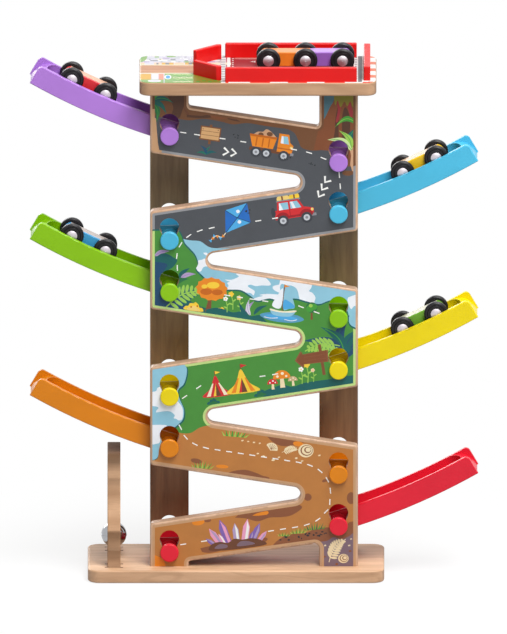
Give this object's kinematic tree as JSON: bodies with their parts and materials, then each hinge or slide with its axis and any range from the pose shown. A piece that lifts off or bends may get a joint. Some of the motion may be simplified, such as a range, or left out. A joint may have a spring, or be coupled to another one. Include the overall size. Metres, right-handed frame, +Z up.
{
  "type": "toy car ramp",
  "caption": "Wooden zig-zag tower with curved channel ramps down which small wheeled cars roll from a railed deck to a finish gate with a hanging bell.",
  "frame": {"origin": "middle of the bounding box at the underside of the base, below the tower's centre line", "axes": "+Z up, +X to the right seen from the printed front panel, +Y away from the viewer, towards the rear posts"},
  "size_m": [0.4664, 0.1106, 0.5642],
  "materials": {
    "board_wood": "satin lacquer",
    "panel_wood": "satin, printed front",
    "post_wood": "satin lacquer",
    "dowel_wood": "raw",
    "fitting_red": "gloss paint",
    "wheel_black": "satin",
    "cap_steel": "satin",
    "bell_chrome": "polished",
    "wire_steel": "polished",
    "screw_steel": "zinc plated",
    "ramp_red": "satin gloss",
    "ramp_orange": "satin gloss",
    "ramp_yellow": "satin gloss",
    "ramp_green": "satin gloss",
    "ramp_blue": "satin gloss",
    "ramp_purple": "satin gloss",
    "car_red": "painted",
    "car_yellow": "painted",
    "car_blue": "painted",
    "car_green": "painted",
    "car_orange": "painted",
    "car_purple": "painted"
  },
  "bodies": {
    "tower": {"base": "board_wood", "base_screws": "screw_steel", "front_panel": "panel_wood", "rear_post_left": "post_wood", "rear_post_right": "post_wood", "deck": "board_wood", "deck_dowels": "dowel_wood", "rail_front": "fitting_red", "rail_rear": "fitting_red", "funnel_front": "fitting_red", "funnel_rear": "fitting_red", "end_stop": "fitting_red", "rail_pins": "dowel_wood", "finish_gate": "board_wood", "bell_hook": "wire_steel"},
    "red_ramp": {"ramp_red": "ramp_red", "ramp_red_pegs": "ramp_red"},
    "orange_ramp": {"ramp_orange": "ramp_orange", "ramp_orange_pegs": "ramp_orange"},
    "yellow_ramp": {"ramp_yellow": "ramp_yellow", "ramp_yellow_pegs": "ramp_yellow"},
    "green_ramp": {"ramp_green": "ramp_green", "ramp_green_pegs": "ramp_green"},
    "blue_ramp": {"ramp_blue": "ramp_blue", "ramp_blue_pegs": "ramp_blue"},
    "purple_ramp": {"ramp_purple": "ramp_purple", "ramp_purple_pegs": "ramp_purple"},
    "bell": {"bell_shell": "bell_chrome", "bell_link": "wire_steel", "bell_pellet": "bell_chrome"},
    "green_car": {"green_car_body": "car_green"},
    "green_car_front_wheelset": {"green_car_front_axle": "cap_steel", "green_car_front_wheels": "wheel_black"},
    "green_car_rear_wheelset": {"green_car_rear_axle": "cap_steel", "green_car_rear_wheels": "wheel_black"},
    "blue_car": {"blue_car_body": "car_blue"},
    "blue_car_front_wheelset": {"blue_car_front_axle": "cap_steel", "blue_car_front_wheels": "wheel_black"},
    "blue_car_rear_wheelset": {"blue_car_rear_axle": "cap_steel", "blue_car_rear_wheels": "wheel_black"},
    "yellow_car": {"yellow_car_body": "car_yellow"},
    "yellow_car_front_wheelset": {"yellow_car_front_axle": "cap_steel", "yellow_car_front_wheels": "wheel_black"},
    "yellow_car_rear_wheelset": {"yellow_car_rear_axle": "cap_steel", "yellow_car_rear_wheels": "wheel_black"},
    "red_car": {"red_car_body": "car_red"},
    "red_car_front_wheelset": {"red_car_front_axle": "cap_steel", "red_car_front_wheels": "wheel_black"},
    "red_car_rear_wheelset": {"red_car_rear_axle": "cap_steel", "red_car_rear_wheels": "wheel_black"},
    "double_car_front": {"double_car_orange_body": "car_orange"},
    "double_car_rear": {"double_car_purple_body": "car_purple"},
    "double_car_front_wheelset": {"double_car_front_axle": "cap_steel", "double_car_front_wheels": "wheel_black"},
    "double_car_middle_wheelset": {"double_car_middle_axle": "cap_steel", "double_car_middle_wheels": "wheel_black"},
    "double_car_rear_wheelset": {"double_car_rear_axle": "cap_steel", "double_car_rear_wheels": "wheel_black"}
  },
  "joints": [
    {"name": "red_ramp_lift", "type": "slide", "parent": "tower", "child": "red_ramp", "axis": [0, 0, 1], "range_m": [0, 0.0133]},
    {"name": "orange_ramp_lift", "type": "slide", "parent": "tower", "child": "orange_ramp", "axis": [0, 0, 1], "range_m": [0, 0.0133]},
    {"name": "yellow_ramp_lift", "type": "slide", "parent": "tower", "child": "yellow_ramp", "axis": [0, 0, 1], "range_m": [0, 0.0133]},
    {"name": "green_ramp_lift", "type": "slide", "parent": "tower", "child": "green_ramp", "axis": [0, 0, 1], "range_m": [0, 0.0133]},
    {"name": "blue_ramp_lift", "type": "slide", "parent": "tower", "child": "blue_ramp", "axis": [0, 0, 1], "range_m": [0, 0.0133]},
    {"name": "purple_ramp_lift", "type": "slide", "parent": "tower", "child": "purple_ramp", "axis": [0, 0, 1], "range_m": [0, 0.0133]},
    {"name": "green_car_roll", "type": "hinge", "parent": "yellow_ramp", "child": "green_car", "pos_m": [-0.107, 0, 0.8614], "axis": [0, 1, 0], "range_deg": [-0.3, 22.3]},
    {"name": "green_car_front_spin", "type": "hinge", "parent": "green_car", "child": "green_car_front_wheelset", "pos_m": [0.15467, 0, 0.26279], "axis": [0, 1, 0], "range_deg": [-1200, 30]},
    {"name": "green_car_rear_spin", "type": "hinge", "parent": "green_car", "child": "green_car_rear_wheelset", "pos_m": [0.18948, 0, 0.27925], "axis": [0, 1, 0], "range_deg": [-1200, 30]},
    {"name": "blue_car_roll", "type": "hinge", "parent": "green_ramp", "child": "blue_car", "pos_m": [0.107, 0, 0.9454], "axis": [0, -1, 0], "range_deg": [-0.3, 22.3]},
    {"name": "blue_car_front_spin", "type": "hinge", "parent": "blue_car", "child": "blue_car_front_wheelset", "pos_m": [-0.15467, 0, 0.34679], "axis": [0, -1, 0], "range_deg": [-1200, 30]},
    {"name": "blue_car_rear_spin", "type": "hinge", "parent": "blue_car", "child": "blue_car_rear_wheelset", "pos_m": [-0.18948, 0, 0.36325], "axis": [0, -1, 0], "range_deg": [-1200, 30]},
    {"name": "yellow_car_roll", "type": "hinge", "parent": "blue_ramp", "child": "yellow_car", "pos_m": [-0.107, 0, 1.0294], "axis": [0, 1, 0], "range_deg": [-0.3, 22.3]},
    {"name": "yellow_car_front_spin", "type": "hinge", "parent": "yellow_car", "child": "yellow_car_front_wheelset", "pos_m": [0.15467, 0, 0.43079], "axis": [0, 1, 0], "range_deg": [-1200, 30]},
    {"name": "yellow_car_rear_spin", "type": "hinge", "parent": "yellow_car", "child": "yellow_car_rear_wheelset", "pos_m": [0.18948, 0, 0.44725], "axis": [0, 1, 0], "range_deg": [-1200, 30]},
    {"name": "red_car_roll", "type": "hinge", "parent": "purple_ramp", "child": "red_car", "pos_m": [0.107, 0, 1.1134], "axis": [0, -1, 0], "range_deg": [-0.3, 22.3]},
    {"name": "red_car_front_spin", "type": "hinge", "parent": "red_car", "child": "red_car_front_wheelset", "pos_m": [-0.15467, 0, 0.51479], "axis": [0, -1, 0], "range_deg": [-1200, 30]},
    {"name": "red_car_rear_spin", "type": "hinge", "parent": "red_car", "child": "red_car_rear_wheelset", "pos_m": [-0.18948, 0, 0.53125], "axis": [0, -1, 0], "range_deg": [-1200, 30]},
    {"name": "double_car_roll", "type": "slide", "parent": "tower", "child": "double_car_front", "axis": [-1, 0, 0], "range_m": [-0.009, 0.131]},
    {"name": "double_car_fold", "type": "hinge", "parent": "double_car_front", "child": "double_car_rear", "pos_m": [0.0535, 0, 0.5517], "axis": [0, -1, 0], "range_deg": [0, 20]},
    {"name": "double_car_front_spin", "type": "hinge", "parent": "double_car_front", "child": "double_car_front_wheelset", "pos_m": [0.015, 0, 0.5517], "axis": [0, 1, 0], "range_deg": [-620, 60]},
    {"name": "double_car_middle_spin", "type": "hinge", "parent": "double_car_front", "child": "double_car_middle_wheelset", "pos_m": [0.0535, 0, 0.5517], "axis": [0, 1, 0], "range_deg": [-620, 60]},
    {"name": "double_car_rear_spin", "type": "hinge", "parent": "double_car_rear", "child": "double_car_rear_wheelset", "pos_m": [0.092, 0, 0.5517], "axis": [0, 1, 0], "range_deg": [-620, 60]},
    {"name": "bell_swing", "type": "hinge", "parent": "tower", "child": "bell", "pos_m": [-0.14565, 0, 0.0727], "axis": [0, 1, 0], "range_deg": [-30, 30]}
  ],
  "couplings": [
    {"joint": "green_car_front_spin", "follows": "green_car_roll", "ratio": -53.288},
    {"joint": "green_car_rear_spin", "follows": "green_car_roll", "ratio": -53.288},
    {"joint": "blue_car_front_spin", "follows": "blue_car_roll", "ratio": -53.288},
    {"joint": "blue_car_rear_spin", "follows": "blue_car_roll", "ratio": -53.288},
    {"joint": "yellow_car_front_spin", "follows": "yellow_car_roll", "ratio": -53.288},
    {"joint": "yellow_car_rear_spin", "follows": "yellow_car_roll", "ratio": -53.288},
    {"joint": "red_car_front_spin", "follows": "red_car_roll", "ratio": -53.288},
    {"joint": "red_car_rear_spin", "follows": "red_car_roll", "ratio": -53.288},
    {"joint": "double_car_front_spin", "follows": "double_car_roll", "rad_per_m": -80},
    {"joint": "double_car_middle_spin", "follows": "double_car_roll", "rad_per_m": -80},
    {"joint": "double_car_rear_spin", "follows": "double_car_roll", "rad_per_m": -80}
  ]
}
